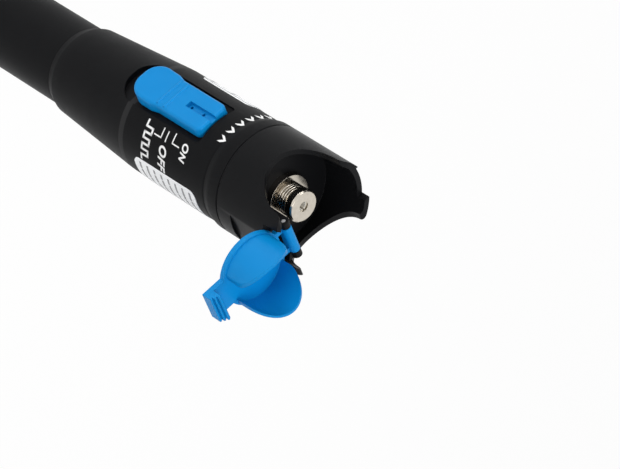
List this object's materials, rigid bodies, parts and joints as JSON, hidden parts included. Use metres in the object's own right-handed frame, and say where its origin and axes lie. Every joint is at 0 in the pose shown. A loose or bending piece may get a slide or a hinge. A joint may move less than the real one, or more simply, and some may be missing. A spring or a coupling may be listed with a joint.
{
  "type": "visual fault locator",
  "caption": "Torch-shaped fibre test light with a slide switch, a ferrule port in a scalloped head and a hinged dust cap.",
  "frame": {"origin": "centre of the flat tail face", "axes": "+Z along the body towards the port, -Y towards the slide switch, +X towards the cap hinge"},
  "size_m": [0.0535, 0.0337, 0.2019],
  "materials": {
    "black_plastic": "fine matte moulding",
    "blue_plastic": "satin moulding",
    "nickel": "bright nickel plate",
    "steel": "drawn steel",
    "brass": "turned brass",
    "ceramic": "ground zirconia",
    "glass": "polished",
    "board": "solder mask",
    "components": "moulded",
    "cell_jacket": "plain jacket",
    "seal_rubber": "nitrile",
    "label_film": "paper film"
  },
  "bodies": {
    "main": {"front_housing": "black_plastic", "head_shell": "black_plastic", "hinge_pin": "steel", "port_adapter": "nickel", "ceramic_sleeve": "ceramic", "port_washer": "nickel", "port_nut": "nickel", "laser_barrel": "brass", "focus_lens": "glass", "lens_spacer": "brass", "laser_diode": "steel", "diode_retainer": "brass", "driver_board": "board", "board_parts": "components", "switch_body": "steel", "battery_tube": "black_plastic", "return_strip": "brass", "rear_cell": "cell_jacket", "front_cell": "cell_jacket", "front_contact": "brass", "contact_carrier": "black_plastic", "neck_o_ring": "seal_rubber", "lower_label": "label_film", "upper_label": "label_film"},
    "selector": {"switch_knob": "blue_plastic", "knob_slider": "black_plastic", "switch_lever": "components"},
    "cap": {"dust_cap": "blue_plastic"},
    "tail_seal": {"tail_o_ring": "seal_rubber"},
    "tail_closure": {"tail_cap": "black_plastic", "tail_contact": "brass", "tail_spring": "steel"}
  },
  "joints": [
    {"name": "switch_slide", "type": "slide", "parent": "main", "child": "selector", "axis": [0, 0, 1], "range_m": [-0.0042, 0]},
    {"name": "cap_hinge", "type": "hinge", "parent": "main", "child": "cap", "pos_m": [0.0093, 0, 0.1907], "axis": [0, -1, 0], "range_deg": [0, 180]},
    {"name": "tail_turn", "type": "hinge", "parent": "main", "child": "tail_seal", "pos_m": [0, 0, 0.0075], "axis": [0, 0, -1], "range_deg": [0, 2160]},
    {"name": "tail_draw", "type": "slide", "parent": "tail_seal", "child": "tail_closure", "axis": [0, 0, -1], "range_m": [0, 0.006]}
  ],
  "couplings": [
    {"joint": "tail_draw", "follows": "tail_turn", "m_per_rad": 0.00015915}
  ]
}
